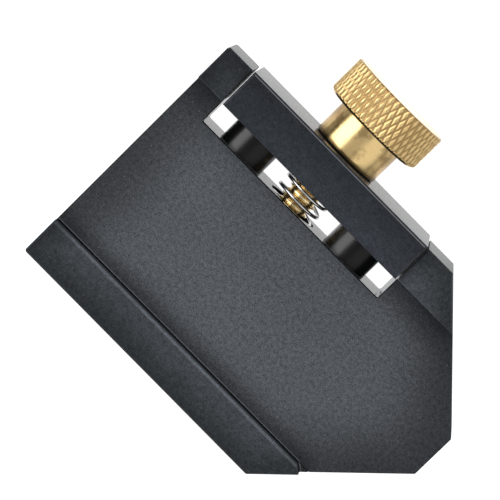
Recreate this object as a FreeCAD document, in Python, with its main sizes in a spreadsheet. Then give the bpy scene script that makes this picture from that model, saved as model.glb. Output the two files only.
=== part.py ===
"""Scribing positioning block: a clamp-on fence that holds a steel rule for marking out.

Frame: X runs along the block from its square end to its pointed nose, Y runs across
the block towards the thumb screw, and Z points out of the channel that the rule lies in.
The origin is on the channel's floor, level with the screw and half-way across the block.
All lengths are millimetres.
"""
import FreeCAD, Part
import math
import os
import re

import Sketcher

# Driving sizes of the block, the clamp and its screw, by the name of their sheet cell.
SIZES = [
    ("block_length", 60.0, "square end to nose tip"),
    ("block_width", 40.0, "ledge edge to arm ends"),
    ("nose_tip_width", 7.0, "flat left between the two 45 degree faces"),
    ("plate_thickness", 10.0, "under the channel floor"),
    ("ledge_height", 2.5, "ledge and arms above the channel floor"),
    ("ledge_width", 6.0, "fixed ledge that the rule butts against"),
    ("ledge_chamfer", 0.35, "along the ledge's shoulder"),
    ("jaw_width", 6.0, "raised strip across the arm ends"),
    ("groove_width", 0.15, "relief groove at the foot of the ledge"),
    ("groove_depth", 0.25, "relief groove at the foot of the ledge"),
    ("groove_undercut", 0.05, "relief groove under the ledge's wall"),
    ("notch_width", 34.2, "notch that the clamp bar slides in"),
    ("notch_depth", 10.0, "notch that the clamp bar slides in"),
    ("notch_corner", 0.3, "radius in the notch's inner corners"),
    ("notch_bevel", 0.15, "chamfer where the notch cuts the channel floor"),
    ("block_corner", 0.4, "radius on the block's outer corners"),
    ("block_edge", 0.2, "chamfer on the block's long edges"),
    ("bar_side_gap", 0.35, "clamp bar to each arm"),
    ("bar_height", 6.3, "clamp bar along the screw"),
    ("bar_depth", 17.5, "clamp bar front to back"),
    ("bar_front_round", 0.4, "radius on the clamp bar's front edges"),
    ("bar_back_round", 0.9, "radius on the clamp bar's back edges"),
    ("rest_gap", 3.9, "clamp bar to notch floor as photographed"),
    ("closed_gap", 0.3, "clamp bar to notch floor when tightened fully"),
    ("pin_diameter", 7.6, "guide pins"),
    ("pin_spacing", 20.3, "between the guide pins' axes"),
    ("pin_grip", 4.3, "guide pin pressed into the clamp bar"),
    ("pin_reach", 14.0, "guide pin inside the block at rest"),
    ("pin_chamfer", 0.5, "leading end of a guide pin"),
    ("running_fit", 0.05, "radial play of pins and screw in the block"),
    ("bar_hole_fit", 0.1, "radial play of the screw in the clamp bar"),
    ("bottom_room", 0.6, "left beyond pins and screw when tightened fully"),
    ("screw_diameter", 5.0, "thread's outer diameter"),
    ("screw_pitch", 0.8, "bar travel for one turn of the screw"),
    ("screw_reach", 24.0, "shank below the thumb screw's shoulder"),
    ("hub_diameter", 10.8, "plain hub under the knurled head"),
    ("hub_height", 5.2, "plain hub under the knurled head"),
    ("head_diameter", 16.0, "knurled head"),
    ("head_thickness", 5.9, "knurled head"),
    ("head_chamfer", 0.5, "both rims of the knurled head"),
    ("hub_chamfer", 0.2, "foot of the hub"),
    ("spring_diameter", 7.6, "outside of the spring"),
    ("spring_wire", 0.5, "spring wire"),
    ("spring_turns", 6.5, "turns from end to end"),
    ("closing_turns", 1.18, "turns over which an end lies down on its seat"),
    ("lean_height", 0.3, "how far each turn leans across the screw"),
    ("spring_play", 0.3, "radial play around the spring in its seats"),
    ("block_seat", 1.65, "depth of the spring's seat in the block"),
    ("bar_seat", 3.5, "depth of the spring's seat in the clamp bar"),
    ("seat_gap", 0.02, "between the spring's ends and their seats"),
]

# Sizes that follow from the driving ones.
DERIVED = [
    ("nose_length", "(block_width - nose_tip_width) / 2"),
    ("shoulder_length", "block_length - nose_length"),
    ("end_x", "-shoulder_length / 2"),
    ("shoulder_x", "shoulder_length / 2"),
    ("tip_x", "block_length - shoulder_length / 2"),
    ("ledge_edge_y", "-block_width / 2"),
    ("arm_end_y", "block_width / 2"),
    ("ledge_wall_y", "ledge_edge_y + ledge_width"),
    ("jaw_wall_y", "arm_end_y - jaw_width"),
    ("notch_floor_y", "arm_end_y - notch_depth"),
    ("axis_z", "-plate_thickness / 2"),
    ("bar_length", "notch_width - 2 * bar_side_gap"),
    ("bar_foot_y", "notch_floor_y + rest_gap"),
    ("bar_top_y", "bar_foot_y + bar_height"),
    ("close_travel", "rest_gap - closed_gap"),
    ("pin_length", "pin_grip + rest_gap + pin_reach"),
    ("pin_bore_radius", "pin_diameter / 2 + running_fit"),
    ("pin_bore_depth", "pin_reach + close_travel + bottom_room"),
    ("seat_radius", "spring_diameter / 2 + spring_play"),
    ("screw_hole_radius", "screw_diameter / 2 + running_fit"),
    ("screw_hole_depth", "screw_reach - bar_height - rest_gap + close_travel + bottom_room"),
    ("bar_hole_radius", "screw_diameter / 2 + bar_hole_fit"),
    ("tip_chamfer", "screw_pitch * 0.75"),
    ("past", "block_width"),
]

# Every piece but the block is drawn upright and laid along the screw: its own Z is the frame's Y.
ALONG_SCREW = FreeCAD.Rotation(FreeCAD.Vector(1, 0, 0), -90)
# Two coordinates nearer than this are one when edges are picked.
SAME = 1e-4
# Checks on the spring's tube: points a turn, and the share its volume may be off by.
POINTS_A_TURN = 72
VOLUME_SLACK = 0.01


def make_sheet(doc):
    """Write the driving sizes and what follows from them into one sheet."""
    sheet = doc.addObject("Spreadsheet::Sheet", "sizes")
    row = 1
    for alias, size, meaning in SIZES:
        sheet.set(f"A{row}", str(size))
        sheet.set(f"B{row}", meaning)
        sheet.setAlias(f"A{row}", alias)
        row += 1
    for alias, formula in DERIVED:
        sheet.set(f"A{row}", "=" + formula)
        sheet.setAlias(f"A{row}", alias)
        row += 1
    doc.recompute()
    return sheet


def bound(expression):
    """Point every size name in an expression at its cell in the sheet."""
    aliases = {entry[0] for entry in SIZES} | {entry[0] for entry in DERIVED}
    words = re.split(r"(\w+)", expression)
    return "".join("<<sizes>>." + word if word in aliases else word for word in words)


def value(doc, expression):
    """Work out an expression over the sheet's cells as a plain number."""
    return float(doc.getObject("sizes").evalExpression(bound(expression)))


def new_body(doc, name):
    body = doc.addObject("PartDesign::Body", name)
    body.Label = name
    return body


def place(piece, across, along, height, rotation=None):
    """Bind a piece's place to sheet expressions, turned along the screw where asked."""
    if rotation:
        piece.Placement = FreeCAD.Placement(FreeCAD.Vector(), rotation)
    for axis, expression in (("x", across), ("y", along), ("z", height)):
        piece.setExpression(f"Placement.Base.{axis}", bound(expression))


def new_sketch(body, name, role, offset=None):
    """Attach a sketch to one of the body's origin planes, moved along its normal."""
    sketch = body.newObject("Sketcher::SketchObject", name)
    for feature in body.Origin.OriginFeatures:
        if feature.Role == role:
            sketch.AttachmentSupport = (feature, [""])
    sketch.MapMode = "FlatFace"
    if offset:
        sketch.setExpression("AttachmentOffset.Base.z", bound(offset))
    return sketch


def pin_down(sketch, geometry, point, across, along):
    """Hold one point of a sketch at a pair of sheet expressions."""
    for kind, expression in (("DistanceX", across), ("DistanceY", along)):
        size = value(sketch.Document, expression)
        number = sketch.addConstraint(Sketcher.Constraint(kind, -1, 1, geometry, point, size))
        sketch.setExpression(f"Constraints[{number}]", bound(expression))


def outline(sketch, corners):
    """Draw a closed outline whose corners are pairs of sheet expressions."""
    doc = sketch.Document
    at = [FreeCAD.Vector(value(doc, across), value(doc, along), 0) for across, along in corners]
    count = len(corners)
    for index in range(count):
        sketch.addGeometry(Part.LineSegment(at[index], at[(index + 1) % count]), False)
    for index in range(count):
        following = (index + 1) % count
        sketch.addConstraint(Sketcher.Constraint("Coincident", index, 2, following, 1))
    for index, (across, along) in enumerate(corners):
        pin_down(sketch, index, 1, across, along)


def rectangle(sketch, left, bottom, right, top):
    outline(sketch, [(left, bottom), (right, bottom), (right, top), (left, top)])


def circle(sketch, across, along, radius):
    """Draw a circle whose centre and radius are sheet expressions."""
    doc = sketch.Document
    centre = FreeCAD.Vector(value(doc, across), value(doc, along), 0)
    size = value(doc, radius)
    number = sketch.addGeometry(Part.Circle(centre, FreeCAD.Vector(0, 0, 1), size), False)
    pin_down(sketch, number, 3, across, along)
    held = sketch.addConstraint(Sketcher.Constraint("Radius", number, size))
    sketch.setExpression(f"Constraints[{held}]", bound(radius))


def pad(body, sketch, name, length):
    feature = body.newObject("PartDesign::Pad", name)
    feature.Profile = sketch
    feature.setExpression("Length", bound(length))
    body.Document.recompute()
    return feature


def cut_out(body, feature):
    """Recompute after a cut and make sure that it took something away."""
    before = feature.BaseFeature.Shape.Volume
    body.Document.recompute()
    if feature.Shape.Volume >= before:
        raise ValueError(f"{feature.Name} cuts nothing")
    return feature


def pocket(body, sketch, name, length=None, along_normal=False):
    """Cut a sketch out, to a depth or right through, along or against its normal."""
    feature = body.newObject("PartDesign::Pocket", name)
    feature.Profile = sketch
    feature.Reversed = along_normal
    if length:
        feature.setExpression("Length", bound(length))
    else:
        feature.Type = "ThroughAll"
    return cut_out(body, feature)


def bore(body, sketch, name):
    """Cut a half profile out all the way round the sketch's own upright axis."""
    feature = body.newObject("PartDesign::Groove", name)
    feature.Profile = sketch
    feature.ReferenceAxis = (sketch, ["V_Axis"])
    feature.Angle = 360
    return cut_out(body, feature)


def edges_where(shape, test):
    """Name the edges of a shape whose every sampled point passes a test."""
    found = []
    for number, edge in enumerate(shape.Edges, start=1):
        first, last = edge.ParameterRange
        points = [edge.valueAt(first + (last - first) * part) for part in (0.0, 0.5, 1.0)]
        if all(test(point) for point in points):
            found.append(f"Edge{number}")
    return found


def dress(body, kind, name, size, test):
    """Round or bevel the body's edges that pass a test."""
    base = body.Tip
    edges = edges_where(base.Shape, test)
    if not edges:
        raise ValueError(f"{name} finds no edge")
    feature = body.newObject(f"PartDesign::{kind}", name)
    feature.Base = (base, edges)
    feature.setExpression("Radius" if kind == "Fillet" else "Size", bound(size))
    body.Document.recompute()
    return feature


def near(first, second):
    return abs(first - second) < SAME


def make_body_block(doc):
    """Block with its ledge, channel, clamp notch, arms, pointed nose and bores."""
    body = new_body(doc, "body_block")
    blank = new_sketch(body, "block_outline", "XY_Plane", "-plate_thickness")
    outline(blank, [
        ("end_x", "ledge_edge_y"),
        ("shoulder_x", "ledge_edge_y"),
        ("tip_x", "-nose_tip_width / 2"),
        ("tip_x", "nose_tip_width / 2"),
        ("shoulder_x", "arm_end_y"),
        ("end_x", "arm_end_y"),
    ])
    pad(body, blank, "block_blank", "plate_thickness + ledge_height")

    channel = new_sketch(body, "channel_outline", "XY_Plane")
    rectangle(channel, "end_x - past", "ledge_wall_y", "tip_x + past", "jaw_wall_y")
    pocket(body, channel, "ruler_channel", along_normal=True)

    groove = new_sketch(body, "groove_outline", "XY_Plane")
    rectangle(
        groove,
        "end_x - past",
        "ledge_wall_y - groove_undercut",
        "tip_x + past",
        "ledge_wall_y + groove_width",
    )
    pocket(body, groove, "relief_groove", "groove_depth")

    notch = new_sketch(body, "notch_outline", "XY_Plane", "-plate_thickness")
    rectangle(
        notch, "-notch_width / 2", "notch_floor_y", "notch_width / 2", "arm_end_y + past"
    )
    pocket(body, notch, "clamp_notch", along_normal=True)

    pins = new_sketch(body, "pin_bore_circles", "XZ_Plane", "-notch_floor_y")
    for side in ("-", ""):
        circle(pins, f"{side}pin_spacing / 2", "axis_z", "pin_bore_radius")
    pocket(body, pins, "pin_bores", "pin_bore_depth", along_normal=True)

    screw = new_sketch(body, "screw_hole_profile", "XY_Plane", "axis_z")
    outline(screw, [
        ("0", "arm_end_y"),
        ("seat_radius", "arm_end_y"),
        ("seat_radius", "notch_floor_y - block_seat"),
        ("screw_hole_radius", "notch_floor_y - block_seat"),
        ("screw_hole_radius", "notch_floor_y - screw_hole_depth"),
        ("0", "notch_floor_y - screw_hole_depth - screw_hole_radius / 2"),
    ])
    bore(body, screw, "screw_hole")

    dress_block(doc, body)
    return body


def dress_block(doc, body):
    """Round the block's upright corners and bevel its long edges."""
    half_notch = value(doc, "notch_width / 2")
    notch_floor = value(doc, "notch_floor_y")
    half_width = value(doc, "block_width / 2")
    half_tip = value(doc, "nose_tip_width / 2")
    top = value(doc, "ledge_height")
    back = value(doc, "-plate_thickness")
    ledge_wall = value(doc, "ledge_wall_y")
    jaw_wall = value(doc, "jaw_wall_y")
    tip = value(doc, "tip_x")
    end = value(doc, "end_x")
    shoulder = value(doc, "shoulder_x")

    def inner_corner(point):
        return near(abs(point.x), half_notch) and near(point.y, notch_floor)

    def outer_corner(point):
        at_side = near(abs(point.y), half_width) and (near(point.x, end) or near(point.x, shoulder))
        at_tip = near(abs(point.y), half_tip) and near(point.x, tip)
        return at_side or at_tip

    def ledge_shoulder(point):
        return near(point.y, ledge_wall) and near(point.z, top)

    def back_rim(point):
        return near(point.z, back)

    def top_rim(point):
        on_ledge_outside = point.y < ledge_wall - value(doc, "ledge_chamfer") - SAME
        return near(point.z, top) and (on_ledge_outside or point.y > jaw_wall - SAME)

    def notch_rim(point):
        within = abs(point.x) < half_notch + SAME and notch_floor - SAME < point.y < jaw_wall + SAME
        return near(point.z, 0) and within

    dress(body, "Fillet", "notch_corners", "notch_corner", inner_corner)
    dress(body, "Fillet", "outer_corners", "block_corner", outer_corner)
    dress(body, "Chamfer", "shoulder_bevel", "ledge_chamfer", ledge_shoulder)
    dress(body, "Chamfer", "back_bevel", "block_edge", back_rim)
    dress(body, "Chamfer", "top_bevel", "block_edge", top_rim)
    dress(body, "Chamfer", "notch_rim_bevel", "notch_bevel", notch_rim)


def make_clamp_bar(doc):
    """Bar that slides between the arms, with its screw hole, spring seat and pin sockets."""
    body = new_body(doc, "clamp_bar")
    blank = new_sketch(body, "bar_outline", "XY_Plane")
    rectangle(blank, "-bar_length / 2", "-bar_depth / 2", "bar_length / 2", "bar_depth / 2")
    pad(body, blank, "bar_blank", "bar_height")

    screw = new_sketch(body, "bar_hole_profile", "XZ_Plane")
    outline(screw, [
        ("0", "0"),
        ("seat_radius", "0"),
        ("seat_radius", "bar_seat"),
        ("bar_hole_radius", "bar_seat"),
        ("bar_hole_radius", "bar_height"),
        ("0", "bar_height"),
    ])
    bore(body, screw, "bar_hole")

    sockets = new_sketch(body, "pin_socket_circles", "XY_Plane")
    for side in ("-", ""):
        circle(sockets, f"{side}pin_spacing / 2", "0", "pin_diameter / 2")
    pocket(body, sockets, "pin_sockets", "pin_grip", along_normal=True)

    half_depth = value(doc, "bar_depth / 2")
    for side, test in (
        ("front", lambda point: near(point.y, -half_depth)),
        ("back", lambda point: near(point.y, half_depth)),
    ):
        dress(body, "Fillet", f"{side}_round", f"bar_{side}_round", test)
    place(body, "0", "bar_foot_y", "axis_z", ALONG_SCREW)
    return body


def make_guide_pin(doc, name, side):
    """Round pin that is pressed into the clamp bar and runs in the block."""
    body = new_body(doc, name)
    section = new_sketch(body, f"{name}_circle", "XY_Plane")
    circle(section, "0", "0", "pin_diameter / 2")
    pad(body, section, f"{name}_rod", "pin_length")
    dress(body, "Chamfer", f"{name}_lead", "pin_chamfer", lambda point: near(point.z, 0))
    place(body, f"{side} * pin_spacing / 2", "notch_floor_y - pin_reach", "axis_z", ALONG_SCREW)
    return body


def make_thumb_screw(doc):
    """Brass screw turned in one piece: shank, plain hub and knurled head."""
    body = new_body(doc, "thumb_screw")
    profile = new_sketch(body, "thumb_screw_profile", "XZ_Plane")
    outline(profile, [
        ("0", "-screw_reach"),
        ("screw_diameter / 2 - tip_chamfer", "-screw_reach"),
        ("screw_diameter / 2", "-screw_reach + tip_chamfer"),
        ("screw_diameter / 2", "0"),
        ("hub_diameter / 2 - hub_chamfer", "0"),
        ("hub_diameter / 2", "hub_chamfer"),
        ("hub_diameter / 2", "hub_height"),
        ("head_diameter / 2 - head_chamfer", "hub_height"),
        ("head_diameter / 2", "hub_height + head_chamfer"),
        ("head_diameter / 2", "hub_height + head_thickness - head_chamfer"),
        ("head_diameter / 2 - head_chamfer", "hub_height + head_thickness"),
        ("0", "hub_height + head_thickness"),
    ])
    turned = body.newObject("PartDesign::Revolution", "thumb_screw_turned")
    turned.Profile = profile
    turned.ReferenceAxis = (profile, ["V_Axis"])
    turned.Angle = 360
    doc.recompute()
    place(body, "0", "bar_top_y + seat_gap", "axis_z", ALONG_SCREW)
    return body


class SpringLine:
    """Centre line of the spring's wire, as a function of the turns from its foot."""

    def __init__(self, doc):
        self.wire = value(doc, "spring_wire")
        self.radius = value(doc, "spring_diameter / 2") - self.wire / 2
        self.turns = value(doc, "spring_turns")
        self.closing = value(doc, "closing_turns")
        self.lean = value(doc, "lean_height")
        room = value(doc, "block_seat + rest_gap + bar_seat - 2 * seat_gap")
        self.height = room - self.wire
        self.pitch = self.height / (self.turns - self.closing)

    def rise(self, turn):
        """Height of an upright spring: each end lies flat and lifts off its seat evenly."""
        left = self.turns - turn
        if turn < self.closing:
            return self.pitch * turn * turn / (2 * self.closing)
        if left < self.closing:
            return self.height - self.pitch * left * left / (2 * self.closing)
        return self.pitch * (turn - self.closing / 2)

    def point(self, turn):
        """Place on the line: the wire starts at the square end's side and winds right-handed."""
        angle = math.pi + 2 * math.pi * turn
        share = min(1.0, turn, self.turns - turn)
        share = share * share * (3 - 2 * share)
        height = self.rise(turn) - self.lean * share * math.cos(angle)
        return FreeCAD.Vector(
            self.radius * math.cos(angle), self.radius * math.sin(angle), height
        )

    def heading(self, turn):
        """Unit direction of the wire."""
        step = 1.0 / (POINTS_A_TURN * POINTS_A_TURN)
        return (self.point(turn + step) - self.point(turn - step)).normalize()

    def least_gap(self):
        """Least space between two stretches of wire that are half a turn or more apart."""
        count = round(self.turns * POINTS_A_TURN)
        points = [self.point(self.turns * index / count) for index in range(count + 1)]
        skip = POINTS_A_TURN // 2
        least = min(
            points[index].distanceToPoint(other)
            for index in range(count + 1)
            for other in points[index + skip:]
        )
        return least - self.wire


def arc_from(start, heading, stop):
    """Arc that leaves a point along a heading and ends at another point."""
    chord = stop - start
    sideways = chord - heading * chord.dot(heading)
    if sideways.Length < SAME * chord.Length:
        return Part.LineSegment(start, stop).toShape()
    sideways.normalize()
    radius = chord.dot(chord) / (2 * chord.dot(sideways))
    centre = start + sideways * radius
    outward = (start - centre) + (stop - centre)
    outward.normalize()
    return Part.Arc(start, centre + outward * radius, stop).toShape()


def biarc(start, first, stop, last):
    """Two arcs that join two points and keep the headings at both."""
    chord = stop - start
    both = first + last
    spread = 2 * (1 - first.dot(last))
    along = chord.dot(both)
    if spread < SAME * SAME:
        reach = chord.dot(chord) / (2 * along)
    else:
        reach = (math.sqrt(along * along + 2 * spread * chord.dot(chord) / 2) - along) / spread
    middle = (start + stop + (first - last) * reach) * 0.5
    return [arc_from(start, first, middle), arc_from(stop, last * -1, middle)]


def make_clamp_spring(doc):
    """Compression spring as one unbroken tube along its wound line."""
    line = SpringLine(doc)
    count = math.ceil(4 * line.turns)
    turns = [line.turns * index / count for index in range(count + 1)]
    foot = line.point(0)
    head = line.point(line.turns)
    edges = [Part.LineSegment(foot - line.heading(0) * line.wire, foot).toShape()]
    for turn, following in zip(turns, turns[1:]):
        edges += biarc(
            line.point(turn), line.heading(turn), line.point(following), line.heading(following)
        )
    edges.append(Part.LineSegment(head, head + line.heading(line.turns) * line.wire).toShape())
    path = Part.Wire(Part.__sortEdges__(edges))
    start = foot - line.heading(0) * line.wire
    section = Part.Wire(Part.Circle(start, line.heading(0), line.wire / 2).toShape())
    tube = path.makePipeShell([section], True, False)
    expected = path.Length * math.pi * line.wire * line.wire / 4
    if abs(tube.Volume / expected - 1) > VOLUME_SLACK:
        raise ValueError("the spring's tube has the wrong volume")
    print(f"spring pitch {line.pitch:.3f}, least gap to itself {line.least_gap():.3f}")

    spring = doc.addObject("Part::Feature", "clamp_spring")
    spring.Label = "clamp_spring"
    spring.Shape = tube
    place(
        spring, "0", "notch_floor_y - block_seat + seat_gap + spring_wire / 2", "axis_z",
        ALONG_SCREW,
    )
    return spring


def write_pieces(doc, pieces):
    """Check every object and piece, then write one file for each piece."""
    doc.recompute()
    for item in doc.Objects:
        if "Invalid" in item.State or "Error" in item.State:
            raise ValueError(f"{item.Name} failed: {item.State}")
    for piece in pieces:
        shape = piece.Shape
        if shape.isNull() or not shape.isValid() or len(shape.Solids) != 1:
            raise ValueError(f"{piece.Label} isn't one valid solid")
    os.makedirs("parts", exist_ok=True)
    for piece in pieces:
        piece.Shape.exportStep(f"parts/{piece.Label}.step")
        print(f"{piece.Label}: {piece.Shape.Volume:.1f} mm3")


def main():
    doc = FreeCAD.newDocument("scribing_block")
    make_sheet(doc)
    pieces = [
        make_body_block(doc),
        make_clamp_bar(doc),
        make_guide_pin(doc, "guide_pin_left", -1),
        make_guide_pin(doc, "guide_pin_right", 1),
        make_thumb_screw(doc),
        make_clamp_spring(doc),
    ]
    write_pieces(doc, pieces)


main()
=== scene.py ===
"""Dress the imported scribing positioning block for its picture.

The classes hold their sizes in millimetres, and every mesh is made in metres in the
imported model's frame: X runs towards the nose, Y towards the thumb screw, and Z out of
the channel that the rule lies in. The screw and the guide pins lie along Y.
"""
import logging
import math
from collections.abc import Callable
from dataclasses import dataclass
from enum import Enum
from functools import partialmethod

import bmesh
import bpy
from bpy.types import ID, Material, Modifier, Node, NodeTree, Object
from mathutils import Matrix, Vector


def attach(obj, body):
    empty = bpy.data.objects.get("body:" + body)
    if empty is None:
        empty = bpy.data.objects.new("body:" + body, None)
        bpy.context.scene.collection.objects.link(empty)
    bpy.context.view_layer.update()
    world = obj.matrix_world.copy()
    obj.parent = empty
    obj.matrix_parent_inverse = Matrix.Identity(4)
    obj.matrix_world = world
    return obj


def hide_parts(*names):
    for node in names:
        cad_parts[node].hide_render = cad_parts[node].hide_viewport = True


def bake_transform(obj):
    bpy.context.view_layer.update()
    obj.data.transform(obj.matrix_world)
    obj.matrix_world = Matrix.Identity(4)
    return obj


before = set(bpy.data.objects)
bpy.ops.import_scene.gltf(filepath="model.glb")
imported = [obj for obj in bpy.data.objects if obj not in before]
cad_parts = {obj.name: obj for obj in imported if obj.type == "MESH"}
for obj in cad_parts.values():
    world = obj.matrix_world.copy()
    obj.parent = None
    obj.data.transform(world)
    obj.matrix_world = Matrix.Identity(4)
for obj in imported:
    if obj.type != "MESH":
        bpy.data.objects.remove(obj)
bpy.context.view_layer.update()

LOG = logging.getLogger("scribing_block")
MM = 0.001
TINY = 1e-6
SEED = 7.0

# Cosine of the 45 degrees at which bevels and slopes lie.
SLANT = math.sqrt(0.5)

# Added to a cutter's radius, in millimetres, where it leaves the blank alone.
UNCUT = 100.0

# Height of the axis that the screw and the spring share, and the pins' axes with it.
AXIS_HEIGHT = -5.0

Colour = tuple[float, float, float]
Place = tuple[float, float, float]
Reach = tuple[float, float]
Profile = list[tuple[float, float]]
Socket = bpy.types.NodeSocket
Value = "Number | Socket | float | tuple[float, ...]"


class Slot(Enum):
    """Material slots of the record that the finishes name."""

    BLOCK = "anodised_block"
    BAR = "anodised_bar"
    PIN = "blackened_pin"
    WIRE = "spring_wire"
    BRASS = "turned_brass"


class Number:
    """A number inside a node tree that takes part in plain arithmetic."""

    def __init__(self, wiring: "Wiring", socket: Socket) -> None:
        """Keep the socket that carries the number and the tree that it is in."""
        self.wiring = wiring
        self.socket = socket

    def worked(self, operation: str, *others: "Number | float") -> "Number":
        """Work one operation of the Math node on this number.

        Args:
            operation: name of the Math node's operation.
            others: further operands.

        Returns:
            The result as another number of the same tree.
        """
        node = self.wiring.joined("ShaderNodeMath", self, *others, operation=operation)
        return Number(self.wiring, node.outputs[0])

    # Each works one operation of the Math node, most of them with a second number.
    __add__ = __radd__ = partialmethod(worked, "ADD")
    __mul__ = __rmul__ = partialmethod(worked, "MULTIPLY")
    __sub__ = partialmethod(worked, "SUBTRACT")
    __truediv__ = partialmethod(worked, "DIVIDE")
    lesser = partialmethod(worked, "MINIMUM")
    greater = partialmethod(worked, "MAXIMUM")
    size = partialmethod(worked, "ABSOLUTE")
    over = partialmethod(worked, "GREATER_THAN")
    under = partialmethod(worked, "LESS_THAN")
    sine = partialmethod(worked, "SINE")
    cosine = partialmethod(worked, "COSINE")
    angle_from = partialmethod(worked, "ARCTAN2")

    def __rsub__(self, other: float) -> "Number":
        """Take this number away from a plain one."""
        return self.worked("MULTIPLY_ADD", -1.0, other)

    def __rtruediv__(self, other: float) -> "Number":
        """Divide a plain number by this one."""
        return self.worked("POWER", -1.0) * other

    def diagonal(self, other: "Number") -> "Number":
        """Return how far off a place is that lies this far one way and that far the other."""
        return (self * self + other * other).worked("SQRT")

    def ridge(self) -> "Number":
        """Return a wave with a crest of 1 at whole numbers and 0 half-way between them."""
        return (self.worked("FRACT") * 2.0 - 1.0).size()

    def ramp(self, low: float, high: float, smooth: bool = True) -> "Number":
        """Rise from 0 at one value to 1 at another.

        Args:
            low: the number that gives 0.
            high: the number that gives 1.
            smooth: ease in and out instead of rising evenly.

        Returns:
            The share between the two values, held to 0 and 1 outside them.
        """
        operands = (self, low, high, 0.0, 1.0)
        kind = "SMOOTHSTEP" if smooth else "LINEAR"
        node = self.wiring.joined("ShaderNodeMapRange", *operands, interpolation_type=kind)
        return Number(self.wiring, node.outputs[0])

    def fall(self, low: float, high: float, smooth: bool = True) -> "Number":
        """Fall from 1 at one value to 0 at another, as the ramp rises."""
        return 1.0 - self.ramp(low, high, smooth)

    def near(self, value: float, inner: float, outer: float) -> "Number":
        """Give 1 within one distance of a value, and 0 beyond another."""
        return (self - value).size().fall(inner, outer)

    def lit(self, reach: Reach, dark: float) -> "Number":
        """Rise to 1 over a reach, from a level that is darker by a share."""
        return self.ramp(*reach) * dark + (1.0 - dark)


class Wiring:
    """Adds nodes to one tree and joins them."""

    def __init__(self, tree: NodeTree) -> None:
        """Keep the tree that the nodes go into."""
        self.tree = tree

    def add(self, kind: str, **settings: object) -> Node:
        """Add a node of a kind and give it its settings."""
        node = self.tree.nodes.new(kind)
        for name, setting in settings.items():
            setattr(node, name, setting)
        return node

    def feed(self, socket: Socket, value: Value) -> None:
        """Link a value into a socket, or set it there where it is a plain one."""
        if isinstance(value, Number):
            value = value.socket
        if isinstance(value, Socket):
            self.tree.links.new(value, socket)
        else:
            socket.default_value = value

    def made(self, kind: str, inputs: dict[str, Value], **settings: object) -> Node:
        """Add a node and feed its inputs by name.

        Args:
            kind: the node's type.
            inputs: value of each input socket, by the socket's name.
            settings: the node's own properties.

        Returns:
            The new node.
        """
        node = self.add(kind, **settings)
        self.fill(node, inputs)
        return node

    def joined(self, kind: str, *values: Value, **settings: object) -> Node:
        """Add a node and feed its inputs in their order."""
        node = self.add(kind, **settings)
        for socket, value in zip(node.inputs, values):
            self.feed(socket, value)
        return node

    def fill(self, node: Node, inputs: dict[str, Value]) -> None:
        """Feed a node's inputs by name."""
        for name, value in inputs.items():
            self.feed(node.inputs[name], value)

    def number(self, socket: Socket) -> Number:
        """Wrap a socket as a number of this tree."""
        return Number(self, socket)

    def split(self, vector: Socket) -> tuple[Number, Number, Number]:
        """Part a vector into its three numbers."""
        node = self.made("ShaderNodeSeparateXYZ", {"Vector": vector})
        return tuple(Number(self, output) for output in node.outputs)

    def measured(self, place: Value) -> tuple[Number, Number, Number]:
        """Part a place into three numbers in millimetres."""
        return self.split(self.scaled(place, 1.0 / MM))

    def vector(self, x: Value, y: Value, z: Value) -> Socket:
        """Join three numbers into a vector."""
        return self.made("ShaderNodeCombineXYZ", {"X": x, "Y": y, "Z": z}).outputs[0]

    def scaled(self, vector: Value, by: Value) -> Socket:
        """Make a vector or a colour longer or shorter."""
        inputs = {"Vector": vector, "Scale": by}
        return self.made("ShaderNodeVectorMath", inputs, operation="SCALE").outputs[0]

    def noise(self, point: Value, scale: Value, detail: float = 2.0) -> Number:
        """Sample soft noise at a point, with its scale in cells a metre."""
        inputs = {"Vector": point, "Scale": scale, "Detail": detail}
        return Number(self, self.made("ShaderNodeTexNoise", inputs).outputs[0])

    def blended(self, mask: Value, off: Value, on: Value) -> Socket:
        """Go from one colour to another by a mask."""
        node = self.add("ShaderNodeMix", data_type="RGBA")
        for name, value in (("Factor_Float", mask), ("A_Color", off), ("B_Color", on)):
            socket = next(item for item in node.inputs if item.identifier == name)
            self.feed(socket, value)
        return next(item for item in node.outputs if item.identifier == "Result_Color")

    def attribute(self, name: str) -> Number:
        """Read a number that the mesh carries under a name."""
        node = self.add("ShaderNodeAttribute", attribute_name=name)
        return Number(self, node.outputs["Fac"])

    def stored(self, geometry: Value, name: str, value: Value) -> Socket:
        """Keep a number on a geometry's points under a name."""
        node = self.made(
            "GeometryNodeStoreNamedAttribute",
            {"Geometry": geometry, "Name": name, "Value": value},
            data_type="FLOAT",
            domain="POINT",
        )
        return node.outputs[0]

    def moved(self, geometry: Value, place: Value) -> Socket:
        """Move a geometry's points to a place in millimetres."""
        inputs = {"Geometry": geometry, "Position": self.scaled(place, MM)}
        return self.made("GeometryNodeSetPosition", inputs).outputs[0]

    def surface(self) -> tuple[Socket, tuple[Number, Number, Number]]:
        """Return the place on the piece and the way its surface faces there."""
        node = self.add("ShaderNodeTexCoord")
        return node.outputs["Object"], self.split(node.outputs["Normal"])

    def centred(self, place: Value, across: float) -> Socket:
        """Measure a place from an axis along Y that lies so many millimetres across."""
        shift = (-across * MM, 0.0, -AXIS_HEIGHT * MM)
        return self.made("ShaderNodeMapping", {"Vector": place, "Location": shift}).outputs[0]


Given = dict[str, Number]


def new_material(name: str) -> tuple[Material, Wiring]:
    """Make an empty material, and return it with the wiring of its tree."""
    material = bpy.data.materials.new(name)
    material.use_nodes = True
    material.node_tree.nodes.clear()
    return material, Wiring(material.node_tree)


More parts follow.
